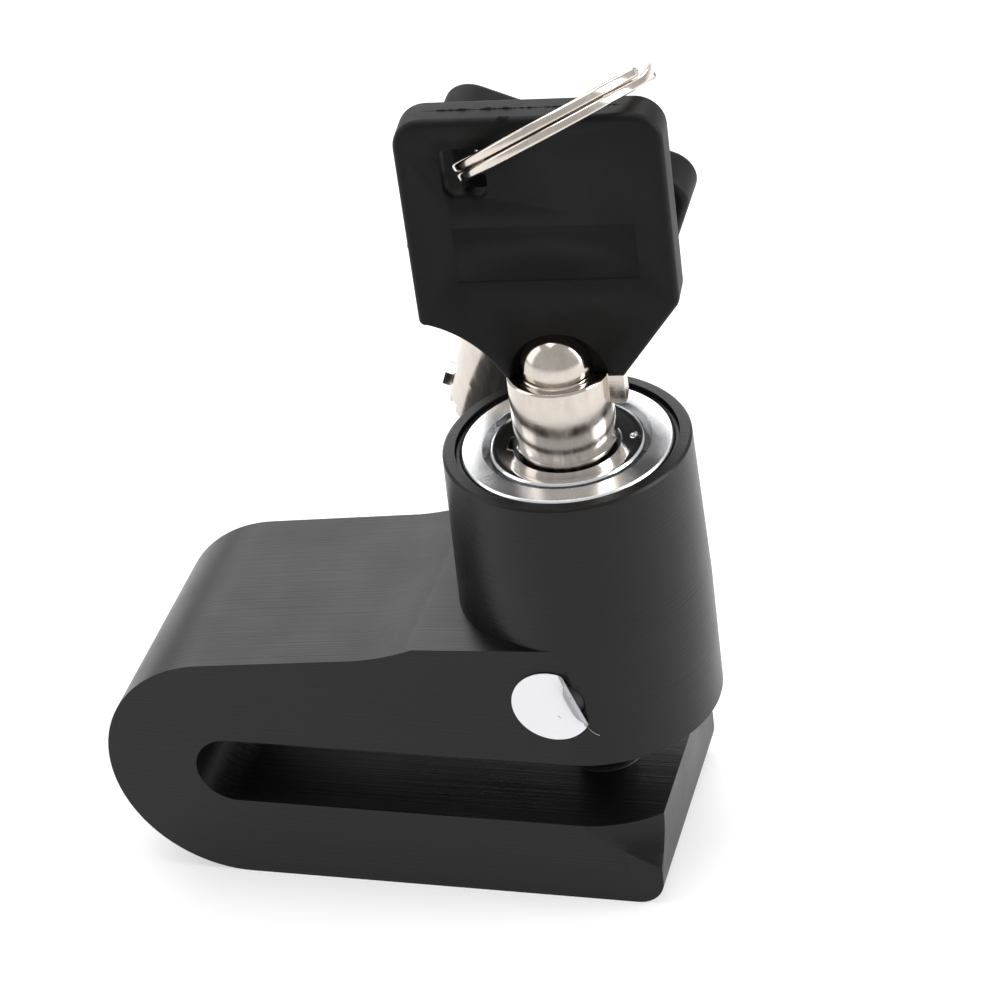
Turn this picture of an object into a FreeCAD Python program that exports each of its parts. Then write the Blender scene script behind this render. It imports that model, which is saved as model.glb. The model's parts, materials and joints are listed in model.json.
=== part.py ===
"""Disc brake lock: push-down plunger type, with its tubular key, split ring and spare key.

Millimetres, +Z up.  The origin is on the bolt's axis at the underside of the lower jaw.
+X points out of the slot's mouth side, -Y is the front.
The lock is drawn locked: plunger down, bolt across the slot, latch sprung out, key in.
"""
import FreeCAD, Part
import math
import os
from FreeCAD import Base

V = Base.Vector
Z = V(0, 0, 1)
Y = V(0, 1, 0)

# ---- driving dimensions: body ----
DEPTH = 26.0            # body depth, front face to back face
LOWER_JAW = 9.8         # lower jaw thickness
SLOT = 8.0              # slot height, for discs up to 7 mm thick
SLOT_END_X = -37.1      # centre of the slot's round end
JAW_END_X = 8.4         # right end face of the lower jaw
NOSE_R = 13.8           # round nose, concentric with the slot's end
TOP_SLOPE = 6.5         # degrees, top face left of the step
STEP_X = (-21.65, -18.2, -15.0)   # step in the top face: foot, middle, crest
STEP_Z = (29.45, 30.2, 31.35)
TURRET_R = 12.5         # turret radius at the rim
TURRET_BASE_R = 13.0    # turret radius where it meets the body
TURRET_BASE_Z = 31.4
RIM_Z = 49.0            # top of the turret
BORE_R = 11.25          # turret bore
BORE_FLOOR_Z = 21.5
SCOOP_R = 6.1           # ball cutter run round the turret's line, taking the lower jaw's corners
JAW_BUSH_R = 4.2        # hardened bush in the lower jaw
JAW_BUSH_Z = (5.0, LOWER_JAW)
STRIKE_R = 2.4          # drilled strike hole, closed by a plug and the seal
SEAL_R = 4.86
SEAL_X = -1.0           # the seal sits a little to one side of the strike hole
SEAL_T = 0.15

# ---- driving dimensions: plunger ----
TRAVEL = 12.0           # plunger travel, locked to open
FIT = 0.07              # running fit on radius
FACE_Z = 48.8           # chrome face of the plunger
PLUNGER_R = 10.68
PLUNGER_BOTTOM_Z = 23.2
FLANGE_TOP_Z = 33.8
BUSH_R = 10.75          # retaining bush, inside radius
BUSH_Z = (46.0, 48.5)
BOLT_R = 3.0
BOLT_Z = (5.9, 31.1)
LATCH_Z = 25.8          # height of the latch and of its strike hole
LATCH_W = 3.8
LATCH_H = 3.0
LATCH_BITE = 0.85       # latch depth in the strike
LATCH_DRAW = 1.2        # latch retraction over the whole travel
LATCH_BACK_Y = -8.2
LATCH_WAY_Y = -6.1      # closed end of the latch's way
GROOVE_R = 8.5          # groove between the chrome face and the core
GROOVE_DEEP = 2.0
LIFT_MEAN_R = 4.6       # lift spring
LIFT_TOP_Z = 29.6
CROSS_PIN_R = 0.6
CROSS_PIN_Z = 30.4

# ---- driving dimensions: lock core and key ----
CORE_R = 7.8
MOUTH_R = 5.35          # lip of the round keyway
LIP_Z = 47.6            # underside of the lip, which holds the turned key in
KEYWAY_R = 5.8          # keyway below the lip
DOT_AT = (6.65, 14.5)   # index dot on the core face: radius, angle
KEY_R = 4.95            # tubular key, outside
KEY_BORE_R = 3.75
KEY_TIP_Z = 43.2
PIN_COUNT = 7
PIN_PITCH_R = 4.42
PIN_R = 0.55
ROTOR_Z = (39.2, 43.1)
STATOR_Z = (33.2, 39.1)
CORE_BOTTOM_Z = 31.2
CORE_PIN_R = 0.6
CORE_PIN_Z = 36.2
STATOR_R = 6.6
ROTOR_R = 6.2
POST_R = 3.6            # centre post, inside the key's tube
POST_TOP_Z = 48.2
TAIL_R = 1.6
TAIL_Z = (31.4, ROTOR_Z[0])
DRIVER_Z = (37.0, STATOR_Z[1])
KEY_NIB_R = 5.7
SLEEVE_R = 5.15         # thicker sleeve of the key, above the lock face
SLEEVE_Z = 49.25
SHOULDER_Z = 57.4
DOME_R = 3.8            # ball end of the tube, above the shoulder
DOME_Z = 58.3           # centre of the ball
KEY_FLOOR_Z = 50.5
TANG_W = 4.4
TANG_T = 1.0
TANG_TOP_Z = 71.0
LUG_R = 6.6
LUG_Z = (53.8, 57.3)
KEY_YAW = 6.0           # degrees, key head turned from the front
HEAD_T = 4.4            # key head thickness
HEAD_TOP_Z = 86.15
HEAD_LEFT = -12.7
HEAD_RIGHT = 13.0
WEB_T = 1.8             # plastic left between the two windows
RING_HOLE = (-6.2, 80.45)  # ring hole centre: along the head, height
RING_HOLE_SIZE = (4.4, 5.5)
RING_POCKET = 2.0       # grip thinned at the back, round the ring hole
RING_R = 9.9            # split ring, mean radius
RING_W = 1.6            # split ring, radial width
RING_T = 2.0            # split ring, two coils together

SLOT_Z = (LOWER_JAW, LOWER_JAW + SLOT)
SLOT_MID_Z = LOWER_JAW + SLOT / 2
FRONT_Y = -DEPTH / 2


def cylinder(r, z0, z1, x=0.0, y=0.0):
    return Part.makeCylinder(r, z1 - z0, V(x, y, z0))


def tube(r_out, r_in, z0, z1):
    return cylinder(r_out, z0, z1).cut(cylinder(r_in, z0 - 1, z1 + 1))


def box(x0, x1, y0, y1, z0, z1):
    return Part.makeBox(x1 - x0, y1 - y0, z1 - z0, V(x0, y0, z0))


def turned(points):
    """Solid of revolution about Z from (radius, height) points."""
    corners = [V(r, 0, z) for r, z in points]
    face = Part.Face(Part.makePolygon(corners + corners[:1]))
    return face.revolve(V(0, 0, 0), Z, 360)


def line(a, b):
    return Part.LineSegment(V(a[0], 0, a[1]), V(b[0], 0, b[1])).toShape()


def arc(a, m, b):
    return Part.Arc(V(a[0], 0, a[1]), V(m[0], 0, m[1]), V(b[0], 0, b[1])).toShape()


def slab(edges, y0, y1):
    """Extrude a closed outline in the XZ plane from y0 to y1."""
    face = Part.Face(Part.Wire(edges))
    face.translate(V(0, y0, 0))
    return face.extrude(V(0, y1 - y0, 0))


def on_circle(centre, r, degrees):
    a = math.radians(degrees)
    return (centre[0] + r * math.cos(a), centre[1] + r * math.sin(a))


def coil(mean_r, wire_r, z0, z1, turns):
    """Compression spring along Z, wire surface from z0 to z1."""
    height = z1 - z0 - 2 * wire_r
    helix = Part.makeHelix(height / turns, height, mean_r)
    section = Part.Wire(Part.makeCircle(wire_r, V(mean_r, 0, 0), V(0, 1, height / turns / 6.2832 / mean_r)))
    spring = Part.Wire(helix).makePipeShell([section], True, True)
    spring.translate(V(0, 0, z0 + wire_r))
    return spring


def tilted(shape, matrix):
    moved = shape.copy()
    moved.Placement = matrix.multiply(moved.Placement)
    return moved


def fused(shapes):
    whole = shapes[0]
    if len(shapes) > 1:
        whole = shapes[0].multiFuse(shapes[1:])
    return whole.removeSplitter()


# ---- lock body ----

def body_outline():
    """Side outline of the block, lower jaw, nose and sloping top, closed at x = 0."""
    nose = (SLOT_END_X, NOSE_R)
    top_start = on_circle(nose, NOSE_R, 90 + TOP_SLOPE)
    foot, middle, crest = zip(STEP_X, STEP_Z)
    top_end = (0.0, crest[1] + 0.9)
    corner = 3.0
    jaw_corner = (JAW_END_X - corner, corner)
    return [
        line((SLOT_END_X, 0), (JAW_END_X - corner, 0)),
        arc((JAW_END_X - corner, 0), on_circle(jaw_corner, corner, -45), (JAW_END_X, corner)),
        line((JAW_END_X, corner), (JAW_END_X, LOWER_JAW)),
        line((JAW_END_X, LOWER_JAW), (JAW_END_X, SLOT_Z[1])),
        line((JAW_END_X, SLOT_Z[1]), (0, SLOT_Z[1])),
        line((0, SLOT_Z[1]), top_end),
        line(top_end, crest),
        arc(crest, middle, foot),
        line(foot, top_start),
        arc(top_start, on_circle(nose, NOSE_R, 180), (SLOT_END_X, 0)),
    ]


def lock_body():
    block = slab(body_outline(), FRONT_Y, -FRONT_Y)
    turret = turned([
        (0, SLOT_Z[1]), (TURRET_BASE_R, SLOT_Z[1]), (TURRET_BASE_R, TURRET_BASE_Z),
        (TURRET_R, RIM_Z - 0.25), (TURRET_R - 0.25, RIM_Z), (0, RIM_Z),
    ])
    body = fused([block, turret])
    slot = box(SLOT_END_X, 30, -20, 20, *SLOT_Z)
    slot_end = Part.makeCylinder(SLOT / 2, 40, V(SLOT_END_X, -20, SLOT_MID_Z), Y)
    body = body.cut(fused([slot, slot_end]))
    body = body.cut(scoop().common(box(0, 20, -20, 20, 0, 17)))
    bore = cylinder(BORE_R, BORE_FLOOR_Z, RIM_Z + 1)
    bolt_hole = cylinder(BOLT_R + FIT, SLOT_Z[1] - 1, BORE_FLOOR_Z + 1)
    jaw_hole = cylinder(JAW_BUSH_R, JAW_BUSH_Z[0], LOWER_JAW + 1)
    strike = Part.makeCylinder(STRIKE_R, 6, V(0, FRONT_Y - 1, LATCH_Z), Y)
    return body.cut(fused([bore, bolt_hole])).cut(jaw_hole).cut(strike).cut(strike_pocket())


def scoop():
    """Flared cut round the turret's line, taking the two outer corners of the lower jaw."""
    centre = (TURRET_BASE_R + SCOOP_R, LOWER_JAW)
    flare = [on_circle(centre, SCOOP_R, 180 + 10 * k) for k in range(7)]
    return turned([(TURRET_BASE_R, 16)] + flare + [(22, flare[-1][1]), (22, 16)])


def strike_pocket():
    """Pocket for the latch in the bore wall, with its long draw ramp above."""
    half_h = LATCH_H / 2 + 0.1
    deep = -(BORE_R + LATCH_BITE + 0.1)
    ramp_top = LATCH_Z + half_h + TRAVEL * (LATCH_BITE + 0.2) / LATCH_DRAW
    shallow = deep + LATCH_BITE + 0.2
    corners = [(deep, LATCH_Z - half_h), (deep, LATCH_Z + half_h), (shallow, ramp_top),
               (-9.0, ramp_top), (-9.0, LATCH_Z - half_h)]
    half_w = LATCH_W / 2 + 0.15
    points = [V(-half_w, y, z) for y, z in corners]
    return Part.Face(Part.makePolygon(points + points[:1])).extrude(V(2 * half_w, 0, 0))


def jaw_bush():
    return tube(JAW_BUSH_R, BOLT_R + FIT + 0.01, *JAW_BUSH_Z)


def retaining_bush():
    return tube(BORE_R, BUSH_R, *BUSH_Z)


def spring_seat():
    return tube(10.6, BOLT_R + 0.35, BORE_FLOOR_Z, BORE_FLOOR_Z + 0.6)


def strike_plug():
    return Part.makeCylinder(STRIKE_R, 0.45, V(0, -12.7, LATCH_Z), Y)


def round_seal():
    """Paper seal over the strike plug: flat on the front face, wrapped onto the turret."""
    flat = box(-10, 0, FRONT_Y - SEAL_T, FRONT_Y, 15, 40)
    wrapped = tube(TURRET_BASE_R + SEAL_T, TURRET_BASE_R, 15, TURRET_BASE_Z - 0.3).common(box(0, 20, -20, 0, 15, 40))
    disc = Part.makeCylinder(SEAL_R, 6, V(SEAL_X, FRONT_Y - 2, LATCH_Z), Y)
    return fused([flat, wrapped]).common(disc)


# ---- plunger ----

def channel(clearance):
    half_w = LATCH_W / 2 + clearance
    half_h = LATCH_H / 2 + clearance
    return half_w, half_h


def plunger_sleeve():
    shell = turned([
        (0, PLUNGER_BOTTOM_Z), (BORE_R - FIT, PLUNGER_BOTTOM_Z), (BORE_R - FIT, FLANGE_TOP_Z),
        (PLUNGER_R, FLANGE_TOP_Z), (PLUNGER_R, FACE_Z - 0.2), (PLUNGER_R - 0.2, FACE_Z),
        (GROOVE_R, FACE_Z), (GROOVE_R, FACE_Z - GROOVE_DEEP), (CORE_R, FACE_Z - GROOVE_DEEP),
        (CORE_R, CORE_BOTTOM_Z), (0, CORE_BOTTOM_Z),
    ])
    bolt_socket = cylinder(BOLT_R, PLUNGER_BOTTOM_Z - 1, BOLT_Z[1])
    spring_well = tube(LIFT_MEAN_R + 0.8, LIFT_MEAN_R - 0.8, PLUNGER_BOTTOM_Z - 1, LIFT_TOP_Z)
    half_w, half_h = channel(0.05)
    latch_way = box(-half_w, half_w, -14, LATCH_WAY_Y, LATCH_Z - half_h, LATCH_Z + half_h)
    cross = Part.makeCylinder(CROSS_PIN_R, 30, V(-15, 0, CROSS_PIN_Z), V(1, 0, 0))
    core_hole = Part.makeCylinder(CORE_PIN_R, 12, V(0, 2, CORE_PIN_Z), Y)
    return shell.cut(bolt_socket).cut(spring_well).cut(latch_way).cut(cross).cut(core_hole)


def locking_bolt():
    bolt = turned([(0, BOLT_Z[0]), (BOLT_R - 0.8, BOLT_Z[0]), (BOLT_R, BOLT_Z[0] + 0.8),
                   (BOLT_R, BOLT_Z[1]), (0, BOLT_Z[1])])
    cross = Part.makeCylinder(CROSS_PIN_R, 30, V(-15, 0, CROSS_PIN_Z), V(1, 0, 0))
    return bolt.cut(cross)


def bolt_cross_pin():
    return Part.makeCylinder(CROSS_PIN_R, 21.6, V(-10.8, 0, CROSS_PIN_Z), V(1, 0, 0))


def core_housing():
    """Turned shell of the tubular lock core: stepped face, keyway lip and notch for the nib."""
    shell = turned([
        (STATOR_R, CORE_BOTTOM_Z), (CORE_R, CORE_BOTTOM_Z), (CORE_R, FACE_Z - 0.2),
        (CORE_R - 0.2, FACE_Z), (6.9, FACE_Z), (6.7, FACE_Z - 0.12), (6.25, FACE_Z - 0.12),
        (6.1, FACE_Z - 0.2), (MOUTH_R + 0.1, FACE_Z - 0.2), (MOUTH_R, FACE_Z - 0.3), (MOUTH_R, LIP_Z),
        (KEYWAY_R, LIP_Z), (KEYWAY_R, ROTOR_Z[1]),
        (ROTOR_R + FIT, ROTOR_Z[1]), (ROTOR_R + FIT, STATOR_Z[1]), (STATOR_R, STATOR_Z[1]),
    ])
    core_hole = Part.makeCylinder(CORE_PIN_R, 12, V(0, 2, CORE_PIN_Z), Y)
    notch = place_key(box(-KEYWAY_R - 0.1, -MOUTH_R + 0.5, -1.1, 1.1, LIP_Z - 1, FACE_Z + 1))
    dot = cylinder(0.42, FACE_Z - 0.5, FACE_Z + 1, *on_circle((0, 0), *DOT_AT))
    return shell.cut(core_hole).cut(notch).cut(dot)


def pin_positions():
    step = 360.0 / PIN_COUNT
    return [on_circle((0, 0), PIN_PITCH_R, 90 + (k + 0.5) * step) for k in range(PIN_COUNT)]


def pin_holes(z0, z1):
    return fused([cylinder(PIN_R + 0.03, z0, z1, x, y) for x, y in pin_positions()])


def stator():
    block = tube(STATOR_R, TAIL_R + FIT, *STATOR_Z)
    core_hole = Part.makeCylinder(CORE_PIN_R, 12, V(0, 3.5, CORE_PIN_Z), Y)
    core_hole = core_hole.cut(cylinder(5.3, 30, 40))
    return block.cut(pin_holes(STATOR_Z[0] + 0.9, STATOR_Z[1] + 1)).cut(core_hole)


def core_pin():
    return Part.makeCylinder(CORE_PIN_R, 5.2, V(0, 5.45, CORE_PIN_Z), Y)


def driver_pins():
    return Part.makeCompound([cylinder(PIN_R, *DRIVER_Z, x, y) for x, y in pin_positions()])


def driver_springs():
    spring = coil(0.36, 0.13, STATOR_Z[0] + 0.95, DRIVER_Z[0] - 0.02, 5)
    springs = []
    for x, y in pin_positions():
        one = spring.copy()
        one.translate(V(x, y, 0))
        springs.append(one)
    return Part.makeCompound(springs)


# ---- plug: turns with the key ----

def rotor():
    """Spindle: centre post that the tubular key fits over, pin flange and tail."""
    post = turned([
        (0, TAIL_Z[0]), (TAIL_R, TAIL_Z[0]), (TAIL_R, ROTOR_Z[0]), (ROTOR_R, ROTOR_Z[0]),
        (ROTOR_R, ROTOR_Z[1] - 0.05), (POST_R, ROTOR_Z[1] - 0.05), (POST_R, POST_TOP_Z - 0.4),
        (POST_R - 0.4, POST_TOP_Z), (0, POST_TOP_Z),
    ])
    return post.cut(pin_holes(ROTOR_Z[0] - 1, ROTOR_Z[1] + 1))


def key_pins():
    z = (ROTOR_Z[0] + 0.03, KEY_TIP_Z - 0.1)
    return Part.makeCompound([cylinder(PIN_R, *z, x, y) for x, y in pin_positions()])


def drive_cam():
    """Cam on the rotor's tail, under the stator."""
    plate = cylinder(4.0, 32.2, 33.1).cut(box(-10, 10, 2.2, 10, 30, 40))
    return plate.cut(cylinder(TAIL_R, 30, 40))


def tail_clip():
    ring = tube(2.5, TAIL_R, 31.5, 32.1)
    return ring.cut(box(-0.8, 0.8, 0, 5, 30, 40))


# ---- latch ----

def latch():
    """Spring latch with a rounded nose, in its way at the front of the plunger."""
    half_w, half_h = channel(0.0)
    tip_y = -(BORE_R + LATCH_BITE)
    bar = box(-half_w, half_w, tip_y, LATCH_BACK_Y, LATCH_Z - half_h, LATCH_Z + half_h)
    nose = Part.makeCylinder(-tip_y, 10, V(0, 0, LATCH_Z - 5), Z)
    return bar.common(nose)


def latch_spring():
    spring = coil(0.9, 0.2, 0, LATCH_WAY_Y - LATCH_BACK_Y - 0.04, 3)
    spring.rotate(V(0, 0, 0), V(1, 0, 0), -90)
    spring.translate(V(0, LATCH_BACK_Y + 0.02, LATCH_Z))
    return spring


def lift_spring():
    return coil(LIFT_MEAN_R, 0.45, BORE_FLOOR_Z + 0.62, LIFT_TOP_Z - 0.02, 5)


# ---- keys ----

def dome():
    """Ball end of the key's tube, which the grip is moulded round."""
    ball = Part.makeSphere(DOME_R, V(0, 0, DOME_Z))
    return fused([cylinder(DOME_R, SHOULDER_Z, DOME_Z), ball.cut(cylinder(DOME_R + 1, DOME_Z - 10, DOME_Z))])


def key_barrel():
    """Tubular key: bitted tube, sleeve, ball end and the tang moulded into the head."""
    blank = turned([
        (KEY_BORE_R, KEY_TIP_Z), (KEY_R - 0.2, KEY_TIP_Z), (KEY_R, KEY_TIP_Z + 0.2), (KEY_R, SLEEVE_Z),
        (SLEEVE_R - 0.12, SLEEVE_Z), (SLEEVE_R, SLEEVE_Z + 0.15), (SLEEVE_R, SHOULDER_Z - 0.2),
        (SLEEVE_R - 0.2, SHOULDER_Z), (4.3, SHOULDER_Z), (4.2, SHOULDER_Z - 0.15), (3.95, SHOULDER_Z - 0.15),
        (DOME_R, SHOULDER_Z), (0, SHOULDER_Z), (0, KEY_FLOOR_Z), (KEY_BORE_R, KEY_FLOOR_Z),
    ])
    nib = box(-KEY_NIB_R, -KEY_R + 0.5, -0.8, 0.8, KEY_TIP_Z + 0.4, KEY_TIP_Z + 2.4)
    tang = box(-TANG_W / 2, TANG_W / 2, -TANG_T / 2, TANG_T / 2, DOME_Z + 2, TANG_TOP_Z)
    lug = box(KEY_R - 0.4, LUG_R, -1.1, 1.1, LUG_Z[0], LUG_Z[1])
    whole = fused([blank, dome(), nib, tang, lug])
    cuts = []
    for k, (x, y) in enumerate(pin_positions()):
        depth = 0.8 + 0.35 * ((k * 3) % 5)
        cuts.append(cylinder(PIN_R + 0.15, KEY_TIP_Z - 1, KEY_TIP_Z + depth, x * 1.08, y * 1.08))
    return whole.cut(fused(cuts))


def head_outline():
    """Outline of the moulded key head in its own plane (along the head, height)."""
    r = 3.0
    left, right, top = HEAD_LEFT, HEAD_RIGHT, HEAD_TOP_Z
    foot_l = (-4.9, SHOULDER_Z)
    foot_r = (6.8, SHOULDER_Z)
    return [
        line(foot_l, foot_r),
        line(foot_r, (12.7, 65.2)),
        arc((12.7, 65.2), (12.92, 65.7), (right, 66.3)),
        line((right, 66.3), (right, top - r)),
        arc((right, top - r), on_circle((right - r, top - r), r, 45), (right - r, top)),
        line((right - r, top), (left + r, top)),
        arc((left + r, top), on_circle((left + r, top - r), r, 135), (left, top - r)),
        line((left, top - r), (left, 64.4)),
        arc((left, 64.4), (-12.5, 63.85), (-11.9, 63.65)),
        arc((-11.9, 63.65), (-7.75, 61.3), foot_l),
    ]


def ring_hole():
    """Rounded oblong through hole for the ring."""
    w, h = RING_HOLE_SIZE[0] / 2, RING_HOLE_SIZE[1] / 2
    u, z = RING_HOLE
    block = box(u - w, u + w, -10, 10, z - h, z + h)
    upright = [e for e in block.Edges if abs(e.Vertexes[0].Y - e.Vertexes[-1].Y) > 5]
    return block.makeFillet(1.1, upright)


def key_head():
    """Moulded grip: windows round the ball, blank label recess, ring hole thinned at the back."""
    half = HEAD_T / 2
    grip = slab(head_outline(), -half, half)
    faces = [e for e in grip.Edges if abs(e.Vertexes[0].Y - e.Vertexes[-1].Y) < 0.01]
    grip = grip.makeFillet(0.7, faces)
    arch = [
        line((-4.3, 50), (-4.3, 58.2)),
        arc((-4.3, 58.2), (0.5, 62.6), (5.3, 58.2)),
        line((5.3, 58.2), (5.3, 50)),
        line((5.3, 50), (-4.3, 50)),
    ]
    grip = grip.cut(slab(arch, -10, -WEB_T / 2)).cut(slab(arch, WEB_T / 2, 10))
    label = box(-8.1, 9.5, -half - 1, -half + 0.25, 68.65, 74.65)
    thinning = box(-10.6, -1.8, half - RING_POCKET, half + 1, 75.85, HEAD_TOP_Z - 1.4)
    tang = box(-TANG_W / 2, TANG_W / 2, -TANG_T / 2, TANG_T / 2, 50, TANG_TOP_Z)
    return grip.cut(dome()).cut(label).cut(thinning).cut(ring_hole()).cut(tang)


def split_ring():
    """Two coils of flat wire, drawn closed, with the parting groove between them."""
    half_w, half_t = RING_W / 2, RING_T / 2
    ring = tube(RING_R + half_w, RING_R - half_w, -half_t, half_t)
    ring = ring.makeFillet(0.35, ring.Edges)
    groove = tube(RING_R + half_w + 1, RING_R + half_w - 0.2, -0.08, 0.08)
    return ring.cut(groove)


# ---- placing the keys and the ring ----

def placed_by(rotation, at, local):
    """Placement that turns about a local point and brings it to a world point."""
    return Base.Placement(V(*at), rotation).multiply(Base.Placement(V(*local).negative(), Base.Rotation()))


HOLE_LOCAL = (RING_HOLE[0], 0, RING_HOLE[1])
KEY_TURN = Base.Rotation(Z, KEY_YAW)

# the ring's plane holds these two directions; both keys' holes are threaded on it
RING_CENTRE = V(1.47, 4.35, 82.4)
RING_ACROSS = V(0.826, 0.482, 0.291)
RING_BACK = V(-0.312, 0.822, -0.477)

SPARE_HOLE = V(-5.95, 9.2, 76.5)
SPARE_YAW = -4.2
SPARE_ROLL = 22.0
SPARE_LEAN = 14.6


def place_key(shape):
    return tilted(shape, Base.Placement(V(0, 0, 0), KEY_TURN))


def place_spare(shape):
    turn = Base.Rotation(Z, SPARE_YAW).multiply(Base.Rotation(V(1, 0, 0), SPARE_LEAN))
    turn = turn.multiply(Base.Rotation(Y, SPARE_ROLL))
    return tilted(shape, placed_by(turn, SPARE_HOLE, HOLE_LOCAL))


def place_ring(shape):
    normal = RING_ACROSS.cross(RING_BACK)
    turn = Base.Rotation(RING_ACROSS, RING_BACK, normal, "ZXY")
    return tilted(shape, Base.Placement(RING_CENTRE, turn))


# ---- write one STEP file per sub-part ----

os.makedirs("parts", exist_ok=True)
PARTS = {
    "lock_body": lock_body(),
    "jaw_bush": jaw_bush(),
    "retaining_bush": retaining_bush(),
    "spring_seat": spring_seat(),
    "strike_plug": strike_plug(),
    "round_seal": round_seal(),
    "plunger_sleeve": plunger_sleeve(),
    "locking_bolt": locking_bolt(),
    "bolt_cross_pin": bolt_cross_pin(),
    "core_housing": core_housing(),
    "stator": stator(),
    "core_pin": core_pin(),
    "driver_pins": driver_pins(),
    "driver_springs": driver_springs(),
    "rotor": rotor(),
    "key_pins": key_pins(),
    "drive_cam": drive_cam(),
    "tail_clip": tail_clip(),
    "latch": latch(),
    "latch_spring": latch_spring(),
    "lift_spring": lift_spring(),
    "key_barrel": place_key(key_barrel()),
    "key_head": place_key(key_head()),
    "split_ring": place_ring(split_ring()),
    "spare_key_barrel": place_spare(key_barrel()),
    "spare_key_head": place_spare(key_head()),
}
for name, shape in PARTS.items():
    shape.exportStep(f"parts/{name}.step")
    print(name, len(shape.Solids), shape.isValid(), round(shape.Volume, 2))
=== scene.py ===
"""Disc brake lock: finishes and fine pieces built round the CAD frame, laid out as an add-on."""
import json
import math
import bmesh
import bpy
import numpy as np
from bpy.props import FloatProperty, FloatVectorProperty, IntProperty, PointerProperty
from bpy.types import Operator, Panel, PropertyGroup
from mathutils import Matrix, Vector, noise


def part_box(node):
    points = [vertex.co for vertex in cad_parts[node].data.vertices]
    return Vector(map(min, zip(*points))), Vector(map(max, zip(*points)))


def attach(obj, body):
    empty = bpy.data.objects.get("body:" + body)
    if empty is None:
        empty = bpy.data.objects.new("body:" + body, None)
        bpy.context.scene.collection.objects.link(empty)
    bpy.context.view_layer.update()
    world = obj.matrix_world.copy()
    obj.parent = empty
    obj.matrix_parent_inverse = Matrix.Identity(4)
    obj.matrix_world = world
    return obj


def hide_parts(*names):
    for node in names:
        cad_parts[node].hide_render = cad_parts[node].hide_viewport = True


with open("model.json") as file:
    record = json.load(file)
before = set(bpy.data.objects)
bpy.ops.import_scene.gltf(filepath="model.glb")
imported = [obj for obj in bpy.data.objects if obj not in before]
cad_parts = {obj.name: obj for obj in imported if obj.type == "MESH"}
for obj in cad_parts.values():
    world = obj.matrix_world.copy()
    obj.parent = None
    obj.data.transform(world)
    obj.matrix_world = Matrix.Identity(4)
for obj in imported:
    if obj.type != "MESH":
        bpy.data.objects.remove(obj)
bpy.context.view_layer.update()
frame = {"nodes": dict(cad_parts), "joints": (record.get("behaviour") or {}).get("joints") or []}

bl_info = {
    "name": "Disc Brake Lock",
    "version": (1, 0, 0),
    "blender": (4, 5, 0),
    "location": "View3D > Sidebar > Disc Lock",
    "description": "Anodised block, chromed plunger, keys, split ring, paper seal and studio",
    "category": "Object",
}

NODES = frame["nodes"]
JOINTS = {j["name"]: j for j in frame["joints"]}
MM = 0.001
UP = Vector((0, 0, 1))
SAME_POINT = 1e-7
WELD_GAP = 0.002 * MM
PLUNGER_EDGE = 0.06 * MM
METAL_EDGE = 0.05 * MM

# Marks of moulding on the key in the lock, in mm from its axis at the head's top or foot
FLASH_TOP = ((-9.8, 0, 0), (9.6, 0, 0))
FLASH_SLOPE = ((12.6, 0, 7.75), (7.1, 0, 0.45))
FLASH_SLOPE_OUT = (0.8, 0, -0.6)
FLASH_STEPS = 120
FLASH_HALF_WIDTH = 0.11 * MM
FLASH_ROOT = 0.05 * MM
GATE_STUB_AT = (-1.9, -1.75, -0.55)
GATE_STUB_SIZE = (1.05, 0.42, 0.75)

# Split ring: the side its wire starts on, the share of half its thickness that rounds the
# corners, and the angle in radians that each end stops short of the step
RING_START = Vector((1, 0.5, 0))
WIRE_ROUNDING = 0.55
WIRE_END_GAP = 0.03
COIL_STEPS = 90
JOG_STEPS = 14

# Paper seal: its sheet lies this far behind the front of the CAD node that it stands for
SEAL_GRID = 72
SEAL_INSET = 0.05 * MM
PAPER_THICKNESS = 0.09 * MM

# Hair caught at the seal's lower corner: place across the turret and height, then its spread
HAIR_STEPS = 40
HAIR_FOOT = (2.45 * MM, 23.0 * MM)
HAIR_REACH = (1.1 * MM, 1.15 * MM)
HAIR_BEND = math.radians(99)
HAIR_STANDOFF = 0.1 * MM

# Studio, with the camera's place and two of its directions in the frame's own axes
FLOOR_RADIUS = 3.0
LIGHTS_AIM = Vector((0, 0, 0.04))
CAMERA_AT = Vector((85.857, -269.064, 233.614)) * MM
CAMERA_RIGHT = Vector((0.96096, 0.25019, -0.11821))
CAMERA_UP = Vector((-0.04756, 0.57016, 0.82016))
SENSOR_WIDTH = 36.0


# ---- settings that a user would change ----

class BlockSettings(PropertyGroup):
    colour: FloatVectorProperty(
        name="Anodising", description="Colour of the anodised block", subtype="COLOR",
        size=3, min=0, max=1, default=(0.003, 0.003, 0.0035))
    roughness: FloatProperty(
        name="Satin", description="Roughness of the anodised faces", subtype="FACTOR",
        min=0, max=1, default=0.36)
    grain: FloatProperty(
        name="Machining grain", description="Width of one machining line",
        subtype="DISTANCE", unit="LENGTH", default=0.16 * MM)
    edge: FloatProperty(
        name="Edge break", description="Width of the broken edges",
        subtype="DISTANCE", unit="LENGTH", default=0.18 * MM)


class CoreSettings(PropertyGroup):
    chrome: FloatVectorProperty(
        name="Chrome", description="Colour of the plunger's face and core", subtype="COLOR",
        size=3, min=0, max=1, default=(0.90, 0.905, 0.92))
    steel: FloatVectorProperty(
        name="Steel", description="Colour of bolt, pins and springs", subtype="COLOR",
        size=3, min=0, max=1, default=(0.30, 0.30, 0.31))
    brass: FloatVectorProperty(
        name="Brass", description="Colour of the pins and the rear bushing", subtype="COLOR",
        size=3, min=0, max=1, default=(0.62, 0.43, 0.16))


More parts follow.
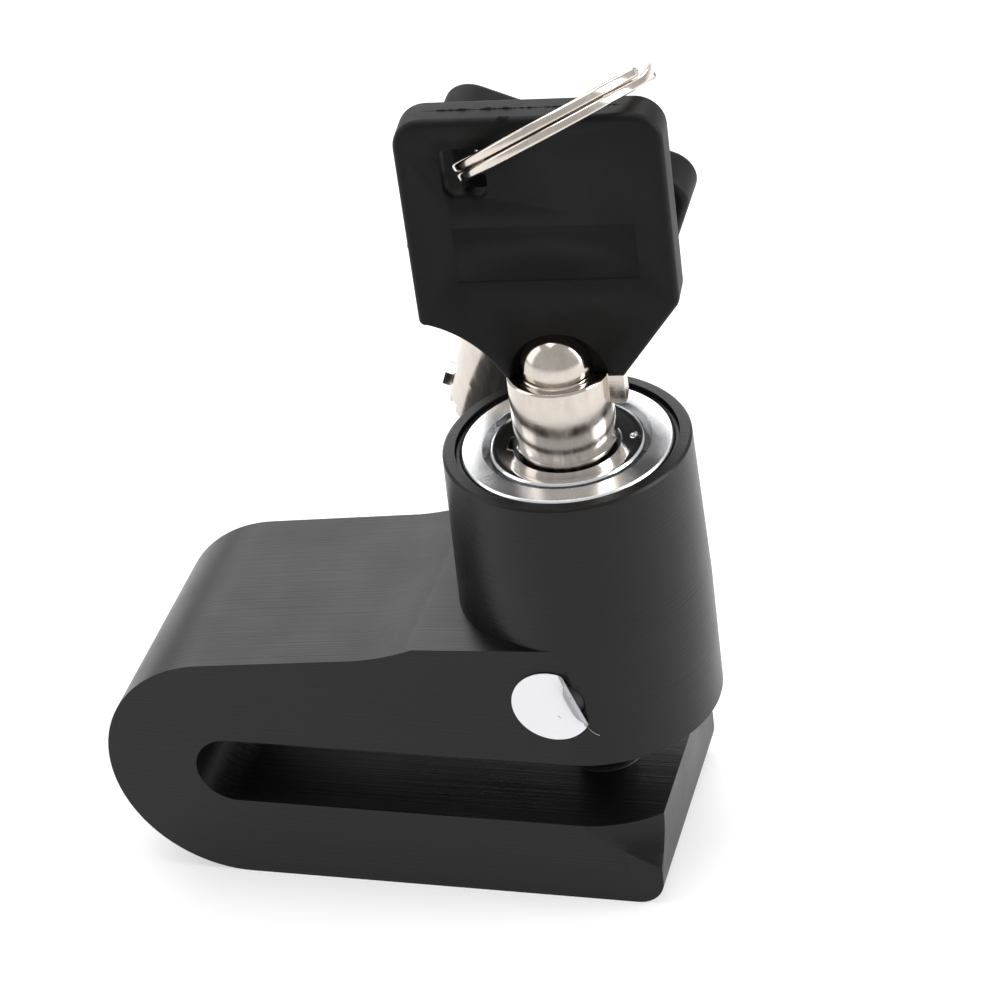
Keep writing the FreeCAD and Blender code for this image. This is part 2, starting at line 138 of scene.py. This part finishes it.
class KeySettings(PropertyGroup):
    nickel: FloatVectorProperty(
        name="Nickel", description="Colour of the key's plated tube", subtype="COLOR",
        size=3, min=0, max=1, default=(0.66, 0.60, 0.54))
    grip: FloatVectorProperty(
        name="Grip", description="Colour of the moulded grip", subtype="COLOR",
        size=3, min=0, max=1, default=(0.0048, 0.0046, 0.0045))
    roughness: FloatProperty(
        name="Grip roughness", description="Roughness of the moulded grip", subtype="FACTOR",
        min=0, max=1, default=0.55)
    yaw: FloatProperty(
        name="Key yaw", description="Turn of the key in the lock", subtype="ANGLE",
        default=math.radians(6))
    flash: FloatProperty(
        name="Moulding flash", description="Height of the flash left along the parting line",
        subtype="DISTANCE", unit="LENGTH", default=0.2 * MM)


class RingSettings(PropertyGroup):
    wire_width: FloatProperty(
        name="Wire width", description="Radial width of the flat wire",
        subtype="DISTANCE", unit="LENGTH", default=1.5 * MM)
    wire_height: FloatProperty(
        name="Wire height", description="Thickness of one coil",
        subtype="DISTANCE", unit="LENGTH", default=0.9 * MM)
    pitch: FloatProperty(
        name="Pitch", description="Rise of one coil over the other, in wire thicknesses",
        default=1.15, min=1)
    jog: FloatProperty(
        name="Jog", description="Arc over which the wire steps from one coil to the other",
        subtype="ANGLE", default=math.radians(38))


class SealSettings(PropertyGroup):
    paper: FloatVectorProperty(
        name="Paper", description="Colour of the coated paper", subtype="COLOR",
        size=3, min=0, max=1, default=(0.90, 0.90, 0.93))
    radius: FloatProperty(
        name="Seal radius", description="Radius of the paper disc",
        subtype="DISTANCE", unit="LENGTH", default=4.15 * MM)
    drop: FloatProperty(
        name="Drop", description="How far the seal sits below the middle of its hole",
        subtype="DISTANCE", unit="LENGTH", default=0.4 * MM)
    fold: FloatProperty(
        name="Fold", description="Distance of the curled edge from the seal's centre",
        subtype="DISTANCE", unit="LENGTH", default=2.35 * MM)
    fold_angle: FloatProperty(
        name="Fold direction", description="Direction in which the edge curls",
        subtype="ANGLE", default=math.radians(18.7))
    curl: FloatProperty(
        name="Curl", description="Radius of the curled edge",
        subtype="DISTANCE", unit="LENGTH", default=0.42 * MM)
    # Grey for the whole curled edge of the seal: painted shade of the roll, a darker copy of the
    # paper colour
    curl_painted_shade: FloatVectorProperty(
        name="Curl painted shade", description="Colour of the seal's underside", subtype="COLOR",
        size=3, min=0, max=1, default=(0.36, 0.35, 0.37))
    lint: FloatProperty(
        name="Lint", description="Radius of the hair caught under the seal",
        subtype="DISTANCE", unit="LENGTH", default=0.03 * MM)


class StudioSettings(PropertyGroup):
    lens: FloatProperty(
        name="Lens", description="Camera lens in millimetres", unit="CAMERA", default=122.3)
    floor: FloatVectorProperty(
        name="Floor", description="Colour of the floor", subtype="COLOR",
        size=3, min=0, max=1, default=(0.5, 0.5, 0.5))
    floor_glow: FloatProperty(
        name="Floor glow", description="Light given off by the floor, which thins the shadows",
        default=0.5, min=0)
    key_light: FloatProperty(
        name="Main light", description="Power of the large overhead panel", unit="POWER",
        default=3.2)
    fill_light: FloatProperty(
        name="Fill light", description="Power of the right panel", unit="POWER", default=3.6)
    back_light: FloatProperty(
        name="Back light", description="Power of the panel behind the lock", unit="POWER",
        default=4.5)
    surround: FloatProperty(
        name="Surround", description="Brightness of the white surround", default=0.6, min=0)
    segments: IntProperty(
        name="Round segments", description="Segments of the round stage", default=96, min=12)


# ---- small helpers ----

def box_of(node):
    low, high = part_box(node)
    return Vector(low), Vector(high)


def mesh_piece(name, bm, body, material, smooth=True):
    """A bmesh in the row frame as a finished piece that rides on a body."""
    mesh = bpy.data.meshes.new(name)
    bm.to_mesh(mesh)
    bm.free()
    piece = bpy.data.objects.new(name, mesh)
    bpy.context.scene.collection.objects.link(piece)
    mesh.materials.append(material)
    for face in mesh.polygons:
        face.use_smooth = smooth
    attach(piece, body)
    return piece


def drawn(name, steps, corners, place, body, material):
    """A closed strand: place(along 0 to 1, corner number) gives each point of its skin."""
    bm = bmesh.new()
    bmesh.ops.create_grid(bm, x_segments=steps, y_segments=corners, size=1)
    for vert in bm.verts:
        corner = round((vert.co.y + 1) / 2 * corners) % corners
        vert.co = place((vert.co.x + 1) / 2, corner)
    bmesh.ops.remove_doubles(bm, verts=bm.verts, dist=SAME_POINT)
    bmesh.ops.recalc_face_normals(bm, faces=bm.faces)
    return mesh_piece(name, bm, body, material)


def dress(node, material, edge=0.0, angle=32.0):
    """Give a CAD node its finish, welded and with broken edges where it has any."""
    piece = NODES[node]
    piece.data.materials.clear()
    piece.data.materials.append(material)
    for face in piece.data.polygons:
        face.material_index = 0
        face.use_smooth = True
    if piece.data.attributes.get("custom_normal"):
        piece.data.attributes.remove(piece.data.attributes["custom_normal"])
    weld = piece.modifiers.new("Weld", "WELD")
    weld.merge_threshold = WELD_GAP
    if edge > 0:
        bevel = piece.modifiers.new("Edge break", "BEVEL")
        bevel.width = edge
        bevel.segments = 2
        bevel.limit_method = "ANGLE"
        bevel.angle_limit = math.radians(angle)
        bevel.use_clamp_overlap = True
        normals = piece.modifiers.new("Normals", "WEIGHTED_NORMAL")
        normals.keep_sharp = True


# ---- finishes ----

class Finish:
    """A node material with a principled shader and the links that its patterns need."""

    def __init__(self, name, colour, metallic=0.0, roughness=0.5, **inputs):
        self.material = bpy.data.materials.new(name)
        self.material.use_nodes = True
        self.tree = self.material.node_tree
        self.shader = self.tree.nodes["Principled BSDF"]
        self.shader.inputs["Base Color"].default_value = (*colour, 1.0)
        self.shader.inputs["Metallic"].default_value = metallic
        self.shader.inputs["Roughness"].default_value = roughness
        for key, value in inputs.items():
            self.shader.inputs[key.replace("_", " ")].default_value = value
        self.coords = self.tree.nodes.new("ShaderNodeTexCoord").outputs["Object"]

    def node(self, kind, **settings):
        made = self.tree.nodes.new(kind)
        for key, value in settings.items():
            setattr(made, key, value)
        return made

    def link(self, source, target):
        self.tree.links.new(source, target)

    def feed(self, socket, value):
        """Put a number or another node's output into a socket."""
        if isinstance(value, (int, float)):
            socket.default_value = value
        else:
            self.link(value, socket)

    def math(self, operation, *values):
        made = self.node("ShaderNodeMath", operation=operation)
        for socket, value in zip(made.inputs, values):
            self.feed(socket, value)
        return made.outputs[0]

    def noise(self, vector, scale, detail=3.0, rough=0.55):
        made = self.node("ShaderNodeTexNoise")
        made.inputs["Scale"].default_value = scale
        made.inputs["Detail"].default_value = detail
        made.inputs["Roughness"].default_value = rough
        self.link(vector, made.inputs["Vector"])
        return made.outputs["Fac"]

    def stretched(self, scale, turn=(0, 0, 0)):
        made = self.node("ShaderNodeMapping")
        made.inputs["Scale"].default_value = scale
        made.inputs["Rotation"].default_value = turn
        self.link(self.coords, made.inputs["Vector"])
        return made.outputs["Vector"]

    def radius(self):
        """Distance from the bolt's axis."""
        flat = self.node("ShaderNodeVectorMath", operation="MULTIPLY")
        self.link(self.coords, flat.inputs[0])
        flat.inputs[1].default_value = (1, 1, 0)
        length = self.node("ShaderNodeVectorMath", operation="LENGTH")
        self.link(flat.outputs[0], length.inputs[0])
        return length.outputs["Value"]

    def ramp(self, value, stops):
        made = self.node("ShaderNodeValToRGB")
        points = made.color_ramp.elements
        while len(points) < len(stops):
            points.new(0.5)
        for point, (where, grey) in zip(points, stops):
            point.position = where
            point.color = (grey, grey, grey, 1)
        self.link(value, made.inputs[0])
        return made.outputs[0]

    def blend(self, factor, a, b):
        made = self.node("ShaderNodeMix", data_type="FLOAT")
        self.link(factor, made.inputs[0])
        self.feed(made.inputs[2], a)
        self.feed(made.inputs[3], b)
        return made.outputs[0]

    def tint(self, factor, dark, light):
        made = self.node("ShaderNodeMix", data_type="RGBA")
        self.link(factor, made.inputs[0])
        made.inputs[6].default_value = (*dark, 1)
        made.inputs[7].default_value = (*light, 1)
        self.link(made.outputs[2], self.shader.inputs["Base Color"])

    def bump(self, height, strength, distance):
        made = self.node("ShaderNodeBump")
        made.inputs["Strength"].default_value = strength
        made.inputs["Distance"].default_value = distance
        self.link(height, made.inputs["Height"])
        self.link(made.outputs[0], self.shader.inputs["Normal"])

    def vary_roughness(self, field, low, swing):
        """Roughness that goes from low to low + swing as the field goes from 0 to 1."""
        self.link(self.math("MULTIPLY_ADD", field, swing, low), self.shader.inputs["Roughness"])

    def faces_up(self):
        """1 on faces that look up or down, 0 on upright ones."""
        normal = self.node("ShaderNodeNewGeometry").outputs["True Normal"]
        split = self.node("ShaderNodeSeparateXYZ")
        self.link(normal, split.inputs[0])
        upright = self.math("ABSOLUTE", split.outputs["Z"])
        return self.ramp(upright, [(0.55, 0.0), (0.75, 1.0)])


def scaled(colour, by):
    return tuple(min(1.0, c * by) for c in colour)


def anodised(settings):
    """Black anodising over fine machining lines, with small bright nicks."""
    f = Finish("anodised_black", settings.colour, 0.0, settings.roughness, Specular_IOR_Level=0.27)
    line = 1.0 / settings.grain
    upright = f.noise(f.stretched((45, 45, line)), scale=1.0, detail=2.0)
    top = f.noise(f.stretched((45, line, 45)), scale=1.0, detail=2.0)
    f.bump(f.blend(f.faces_up(), upright, top), strength=0.65, distance=0.04 * MM)
    cloud = f.noise(f.coords, scale=140.0)
    f.vary_roughness(cloud, low=settings.roughness - 0.10, swing=0.18)
    nick_field = f.noise(f.stretched((260, 260, 2600)), scale=1.0, detail=4.0, rough=0.7)
    nicks = f.ramp(nick_field, [(0.80, 0.0), (0.83, 1.0)])
    f.tint(nicks, settings.colour, scaled(settings.colour, 14))
    return f.material


def turned_chrome(name, colour, roughness=0.10, lines=9000.0, depth=0.10):
    """Chrome over a face turned on a lathe: rings round the bolt's axis."""
    f = Finish(name, colour, 1.0, roughness)
    ring = f.node("ShaderNodeTexNoise", noise_dimensions="1D")
    ring.inputs["Scale"].default_value = lines
    ring.inputs["Detail"].default_value = 2.0
    f.link(f.radius(), ring.inputs["W"])
    flank = f.noise(f.stretched((60, 60, lines)), scale=1.0, detail=2.0)
    f.bump(f.blend(f.faces_up(), flank, ring.outputs["Fac"]), strength=depth, distance=0.03 * MM)
    smear = f.noise(f.coords, scale=420.0)
    f.vary_roughness(smear, low=roughness - 0.06, swing=0.16)
    return f.material


def nickel(name, colour, turn):
    """Nickel plate on a turned tube: lines round its axis, dull marks and soft smears."""
    f = Finish(name, colour, 1.0, 0.16)
    rounds = f.noise(f.stretched((50, 50, 5200), turn), scale=1.0, detail=2.0)
    marks = f.noise(f.stretched((700, 700, 260), turn), scale=1.0, detail=4.0, rough=0.7)
    f.bump(rounds, strength=0.10, distance=0.03 * MM)
    f.vary_roughness(marks, low=-0.02, swing=0.34)
    f.tint(f.ramp(marks, [(0.35, 0.0), (0.75, 1.0)]), scaled(colour, 0.82), colour)
    return f.material


def plain_metal(name, colour, roughness, metallic=1.0):
    """Plain metal, or its black coating, with a fine grain and a slightly uneven colour."""
    f = Finish(name, colour, metallic, roughness)
    grain = f.noise(f.stretched((900, 900, 3800)), scale=1.0, detail=2.0)
    f.bump(grain, strength=0.10, distance=0.02 * MM)
    f.tint(f.noise(f.coords, scale=500.0), scaled(colour, 0.8), colour)
    return f.material


def grip_plastic(settings):
    """Moulded black plastic: fine pebble, faint flow marks and dusty scuffs."""
    f = Finish("grip_plastic", settings.grip, 0.0, settings.roughness, Specular_IOR_Level=0.16)
    pebble = f.noise(f.coords, scale=3600.0, detail=2.0)
    flow = f.noise(f.stretched((240, 240, 90)), scale=1.0)
    skin = f.math("ADD", pebble, f.math("MULTIPLY", flow, 2.0))
    f.bump(skin, strength=0.16, distance=0.06 * MM)
    scuff_field = f.noise(f.stretched((420, 420, 700)), scale=1.0, detail=5.0, rough=0.7)
    scuffs = f.ramp(scuff_field, [(0.60, 0.0), (0.78, 1.0)])
    f.tint(scuffs, settings.grip, scaled(settings.grip, 1.9))
    f.vary_roughness(flow, low=settings.roughness - 0.12, swing=0.2)
    return f.material


def coated_paper(name, colour):
    """Coated paper with a faint fibre and small specks."""
    f = Finish(name, colour, 0.0, 0.45)
    fibre = f.noise(f.coords, scale=2600.0, detail=4.0)
    f.bump(fibre, strength=0.10, distance=0.03 * MM)
    speck = f.ramp(f.noise(f.coords, scale=1500.0, detail=1.0), [(0.76, 0.0), (0.80, 1.0)])
    f.tint(speck, colour, scaled(colour, 0.55))
    return f.material


# ---- operators: one for each group of pieces ----

class DISCLOCK_OT_block(Operator):
    """Finish the anodised block, its bushes and its seat"""
    bl_idname = "disclock.block"
    bl_label = "Anodised block"

    def execute(self, context):
        settings = context.scene.lock_block
        dress("lock_body", anodised(settings), settings.edge)
        black = plain_metal("bush_black", (0.012, 0.012, 0.013), 0.42, 0.0)
        dress("retaining_bush", black, settings.edge / 2)
        steel = plain_metal("bolt_steel", context.scene.lock_core.steel, 0.32)
        dress("spring_seat", steel)
        dress("jaw_bush", black)
        # The strike plug takes the black finish as painted shade: it stands in for the dark hole
        # beside the seal's curled edge
        dress("strike_plug", black)
        return {"FINISHED"}


class DISCLOCK_OT_core(Operator):
    """Finish the chromed plunger, the lock core, the bolt and the pins"""
    bl_idname = "disclock.core"
    bl_label = "Plunger and core"

    def execute(self, context):
        settings = context.scene.lock_core
        face = turned_chrome("plunger_chrome", settings.chrome, roughness=0.24)
        dress("plunger_sleeve", face, PLUNGER_EDGE)
        chrome = turned_chrome("core_chrome", scaled(settings.chrome, 0.9), roughness=0.12,
                               lines=7000.0, depth=0.14)
        dress("core_housing", chrome, METAL_EDGE)
        dress("rotor", chrome, METAL_EDGE)
        steel = plain_metal("hard_steel", settings.steel, 0.28)
        for node in ("bolt_cross_pin", "core_pin", "latch", "tail_clip", "drive_cam"):
            dress(node, steel)
        dress("locking_bolt", plain_metal("black_oxide", scaled(settings.steel, 0.25), 0.34))
        brass = plain_metal("pin_brass", settings.brass, 0.3)
        for node in ("stator", "driver_pins", "key_pins"):
            dress(node, brass)
        wire = plain_metal("spring_steel", scaled(settings.steel, 1.2), 0.3)
        for node in ("lift_spring", "latch_spring", "driver_springs"):
            dress(node, wire)
        return {"FINISHED"}


def main_axis(node):
    """Direction in which a long node's points spread the most, upwards."""
    points = np.empty(len(NODES[node].data.vertices) * 3)
    NODES[node].data.vertices.foreach_get("co", points)
    points = points.reshape(-1, 3)
    spread = np.cov((points - points.mean(0)).T)
    axis = Vector(np.linalg.eigh(spread)[1][:, -1])
    return axis if axis.z > 0 else -axis


class DISCLOCK_OT_keys(Operator):
    """Finish both keys: plated tubes and moulded grips"""
    bl_idname = "disclock.keys"
    bl_label = "Keys"

    def execute(self, context):
        settings = context.scene.lock_keys
        grip = grip_plastic(settings)
        for stem in ("", "spare_"):
            barrel = stem + "key_barrel"
            turn = main_axis(barrel).rotation_difference(UP).to_euler()
            plate = nickel(stem + "key_nickel", settings.nickel, turn)
            dress(barrel, plate, METAL_EDGE, angle=40.0)
            dress(stem + "key_head", grip)
        self.flash(settings, grip)
        return {"FINISHED"}

    def flash(self, settings, grip):
        """Thin fins along the parting line of the key in the lock, and the gate's stub."""
        turn = Matrix.Rotation(settings.yaw, 3, "Z")
        low, high = box_of("key_head")
        top, foot = UP * high.z, UP * low.z
        for name, line, base, out in (
            ("flash_top", FLASH_TOP, top, UP),
            ("flash_slope", FLASH_SLOPE, foot, Vector(FLASH_SLOPE_OUT)),
        ):
            start, end = (Vector(point) * MM + base for point in line)

            def fin(along, corner):
                spine = start.lerp(end, along)
                if corner == 1:
                    rough = abs(noise.noise(spine * 1400)) + 0.5 * abs(noise.noise(spine * 4200))
                    height = min(1.0, 1.6 * rough) * min(1, 8 * along, 8 - 8 * along)
                    return turn @ (spine + out * (settings.flash * height))
                ends = min(1, 12 * along, 12 - 12 * along)
                aside = Vector((0, (corner - 1) * FLASH_HALF_WIDTH * ends, 0))
                return turn @ (spine - out * FLASH_ROOT + aside)

            drawn(name, FLASH_STEPS, 3, fin, "key", grip)
        self.gate_stub(turn, top, grip)

    def gate_stub(self, turn, top, grip):
        """The torn stub left where the mould's gate met the head."""
        bm = bmesh.new()
        bmesh.ops.create_icosphere(bm, subdivisions=3, radius=1.0)
        for vert in bm.verts:
            lump = 1 + 0.35 * noise.noise(vert.co * 1.7) + 0.15 * noise.noise(vert.co * 5)
            size = Vector(GATE_STUB_SIZE)
            size.z -= 0.2 * abs(vert.co.x)
            vert.co = turn @ ((vert.co * size * lump + Vector(GATE_STUB_AT)) * MM) + top
        bmesh.ops.recalc_face_normals(bm, faces=bm.faces)
        mesh_piece("gate_stub", bm, "key", grip)


def ring_frame():
    """Centre, mean radius and axis of the split ring, from the two hinges it threads."""
    first, second = JOINTS["ring_swing"], JOINTS["spare_swing"]
    at = [Vector(j["pos_m"]) for j in (first, second)]
    along = [Vector(j["axis"]).normalized() for j in (first, second)]
    axis = along[0].cross(along[1]).normalized()
    inward = [axis.cross(a) for a in along]
    gap = at[0] - at[1]
    reach = inward[1] - inward[0]
    radius = gap.dot(reach) / reach.length_squared
    centre = at[0] + inward[0] * radius
    if radius < 0:
        axis, radius = -axis, -radius
    return centre, radius, axis


class DISCLOCK_OT_ring(Operator):
    """Wind the split ring: two coils of flat wire with a step between them"""
    bl_idname = "disclock.ring"
    bl_label = "Split ring"

    def execute(self, context):
        settings = context.scene.lock_ring
        centre, radius, axis = ring_frame()
        outward = (RING_START - axis * RING_START.dot(axis)).normalized()
        turn = Matrix((outward, axis.cross(outward), axis)).transposed().to_4x4()
        bm = bmesh.new()
        half_w, half_h = settings.wire_width / 2, settings.wire_height / 2
        corners = [(-half_w, -half_h), (half_w, -half_h), (half_w, half_h), (-half_w, half_h)]
        loop = [bm.verts.new((radius + x, 0, z - half_h * settings.pitch)) for x, z in corners]
        bm.faces.new(loop)
        bmesh.ops.bevel(bm, geom=loop, affect="VERTICES", offset=half_h * WIRE_ROUNDING, segments=3,
                        profile=0.5, material=-1)
        geom = bm.verts[:] + bm.edges[:] + bm.faces[:]
        flat = 2 * math.pi - settings.jog
        rise = settings.wire_height * settings.pitch
        coil = (flat - WIRE_END_GAP, 0, COIL_STEPS)
        for angle, lift, steps in (coil, (settings.jog, rise, JOG_STEPS), coil):
            made = bmesh.ops.spin(bm, geom=geom, cent=(0, 0, 0), axis=(0, 0, 1), angle=angle,
                                  steps=steps, dvec=(0, 0, lift / steps), use_merge=False)
            geom = made["geom_last"]
        bmesh.ops.remove_doubles(bm, verts=bm.verts, dist=SAME_POINT)
        bmesh.ops.recalc_face_normals(bm, faces=bm.faces)
        bm.transform(Matrix.Translation(centre) @ turn)
        material = nickel("ring_nickel", scaled(context.scene.lock_keys.nickel, 1.12), (0, 0, 0))
        ring = mesh_piece("split_ring_coils", bm, "ring", material)
        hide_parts("split_ring")
        return {"FINISHED"}


class DISCLOCK_OT_seal(Operator):
    """Lay the paper seal over its plug, half flat and half round the turret, one edge curled"""
    bl_idname = "disclock.seal"
    bl_label = "Paper seal"

    def execute(self, context):
        settings = context.scene.lock_seal
        low, high = box_of("round_seal")
        height = (high.z + low.z) / 2 - settings.drop
        side = (high.x + low.x) / 2
        round_r = -low.y - SEAL_INSET
        bm = bmesh.new()
        bmesh.ops.create_grid(bm, x_segments=SEAL_GRID, y_segments=SEAL_GRID, size=settings.radius)
        turn = Matrix.Rotation(-settings.fold_angle, 3, "Z")
        for vert in bm.verts:
            if vert.co.length > 0:
                vert.co *= max(abs(vert.co.x), abs(vert.co.y)) / vert.co.length
        shaded_curl_faces = set()
        for vert in bm.verts:
            flat = turn @ vert.co
            beyond = max(0.0, flat.x - settings.fold)
            lift = 0.0
            if beyond > 0:
                shaded_curl_faces.update(face.index for face in vert.link_faces)
                angle = beyond / settings.curl
                flat.x = settings.fold + settings.curl * math.sin(angle)
                lift = settings.curl * (1 - math.cos(angle))
            flat = turn.inverted() @ flat + Vector((side, 0, 0))
            if flat.x > 0:
                around = flat.x / round_r
                out = round_r + lift
                flat.x = out * math.sin(around)
                front = out * math.cos(around)
            else:
                front = round_r + lift
            vert.co = (flat.x, -front, height + flat.y)
        bmesh.ops.recalc_face_normals(bm, faces=bm.faces)
        seal = mesh_piece("paper_seal", bm, "body", coated_paper("seal_paper", settings.paper))
        # The curled faces take a grey copy of the paper: painted shade on the roll of the seal
        seal.data.materials.append(coated_paper("seal_curl_painted_shade", settings.curl_painted_shade))
        for index in shaded_curl_faces:
            seal.data.polygons[index].material_index = 1
        wall = seal.modifiers.new("Paper", "SOLIDIFY")
        wall.thickness = PAPER_THICKNESS
        wall.offset = 1.0 if seal.data.polygons[0].normal.y < 0 else -1.0
        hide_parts("round_seal")
        self.hair(settings, round_r)
        return {"FINISHED"}

    def hair(self, settings, round_r):
        """A hair stuck to the seal's lower corner."""
        def skin(along, corner):
            bend = math.sin(HAIR_BEND * along)
            across = HAIR_FOOT[0] + HAIR_REACH[0] * bend * along ** 0.3
            height = HAIR_FOOT[1] - HAIR_REACH[1] * bend ** 0.8
            thin = settings.lint * min(1, 10 * along, 10 - 10 * along)
            turn = corner * math.pi / 2
            out = round_r + HAIR_STANDOFF * (1 + along) + thin * math.sin(turn)
            around = across / round_r
            height += thin * math.cos(turn)
            return Vector((out * math.sin(around), -out * math.cos(around), height))

        lint = coated_paper("lint_grey", scaled(settings.paper, 0.5))
        drawn("lint_hair", HAIR_STEPS, 4, skin, "body", lint)


class DISCLOCK_OT_studio(Operator):
    """Set the floor, the soft lights and the camera"""
    bl_idname = "disclock.studio"
    bl_label = "Studio"

    def execute(self, context):
        settings = context.scene.lock_studio
        self.floor(settings)
        self.lights(context, settings)
        self.camera(context, settings)
        context.scene.view_settings.view_transform = "Standard"
        return {"FINISHED"}

    def floor(self, settings):
        bm = bmesh.new()
        bmesh.ops.create_circle(bm, cap_ends=True, segments=settings.segments, radius=FLOOR_RADIUS)
        mesh = bpy.data.meshes.new("floor")
        bm.to_mesh(mesh)
        bm.free()
        floor = bpy.data.objects.new("floor", mesh)
        bpy.context.scene.collection.objects.link(floor)
        paint = Finish("floor_paint", settings.floor, roughness=0.9,
                       Emission_Strength=settings.floor_glow)
        paint.shader.inputs["Emission Color"].default_value = (1, 1, 1, 1)
        mesh.materials.append(paint.material)

    def lights(self, context, settings):
        world = bpy.data.worlds.new("surround")
        world.use_nodes = True
        context.scene.world = world
        sky = world.node_tree.nodes["Background"]
        sky.inputs["Color"].default_value = (1, 1, 1, 1)
        sky.inputs["Strength"].default_value = settings.surround
        panels = [
            ("overhead", (-0.10, 0.10, 0.75), (0.55, 0.55), settings.key_light),
            ("back_panel", (-0.25, 0.75, 0.50), (1.0, 0.6), settings.back_light),
            ("left_panel", (-0.60, -0.15, 0.35), (0.35, 0.6), settings.fill_light / 4),
            ("right_panel", (0.60, 0.10, 0.30), (0.30, 0.6), settings.fill_light),
        ]
        for name, place, size, power in panels:
            data = bpy.data.lights.new(name, "AREA")
            data.shape = "RECTANGLE"
            data.size, data.size_y = size
            data.energy = power
            lamp = bpy.data.objects.new(name, data)
            lamp.location = place
            aim = LIGHTS_AIM - Vector(place)
            lamp.rotation_euler = aim.to_track_quat("-Z", "Y").to_euler()
            context.scene.collection.objects.link(lamp)

    def camera(self, context, settings):
        data = bpy.data.cameras.new("camera")
        data.lens = settings.lens
        data.sensor_width = SENSOR_WIDTH
        data.clip_start, data.clip_end = 0.01, 20.0
        camera = bpy.data.objects.new("camera", data)
        back = CAMERA_RIGHT.cross(CAMERA_UP).normalized()
        right = CAMERA_UP.cross(back).normalized()
        turn = Matrix((right, CAMERA_UP, back)).transposed().to_4x4()
        camera.matrix_world = Matrix.Translation(CAMERA_AT) @ turn
        context.scene.collection.objects.link(camera)
        context.scene.camera = camera


class DISCLOCK_PT_panel(Panel):
    """Lists the lock's pieces in the sidebar"""
    bl_idname = "DISCLOCK_PT_panel"
    bl_label = "Disc Brake Lock"
    bl_space_type = "VIEW_3D"
    bl_region_type = "UI"
    bl_category = "Disc Lock"

    def draw(self, context):
        for operator, group in STEPS:
            self.layout.operator(operator.bl_idname)
            settings = getattr(context.scene, group)
            for name in settings.bl_rna.properties.keys():
                if name not in ("rna_type", "name"):
                    self.layout.prop(settings, name)


GROUPS = {
    "lock_block": BlockSettings,
    "lock_core": CoreSettings,
    "lock_keys": KeySettings,
    "lock_ring": RingSettings,
    "lock_seal": SealSettings,
    "lock_studio": StudioSettings,
}
STEPS = [
    (DISCLOCK_OT_block, "lock_block"),
    (DISCLOCK_OT_core, "lock_core"),
    (DISCLOCK_OT_keys, "lock_keys"),
    (DISCLOCK_OT_ring, "lock_ring"),
    (DISCLOCK_OT_seal, "lock_seal"),
    (DISCLOCK_OT_studio, "lock_studio"),
]


def register():
    for group, settings in GROUPS.items():
        bpy.utils.register_class(settings)
        setattr(bpy.types.Scene, group, PointerProperty(type=settings))
    for operator, _ in STEPS:
        bpy.utils.register_class(operator)
    bpy.utils.register_class(DISCLOCK_PT_panel)


def unregister():
    bpy.utils.unregister_class(DISCLOCK_PT_panel)
    for operator, _ in reversed(STEPS):
        bpy.utils.unregister_class(operator)
    for group, settings in GROUPS.items():
        delattr(bpy.types.Scene, group)
        bpy.utils.unregister_class(settings)


def main():
    register()
    bpy.ops.disclock.block()
    bpy.ops.disclock.core()
    bpy.ops.disclock.keys()
    bpy.ops.disclock.ring()
    bpy.ops.disclock.seal()
    bpy.ops.disclock.studio()


if __name__ == "__main__":
    main()
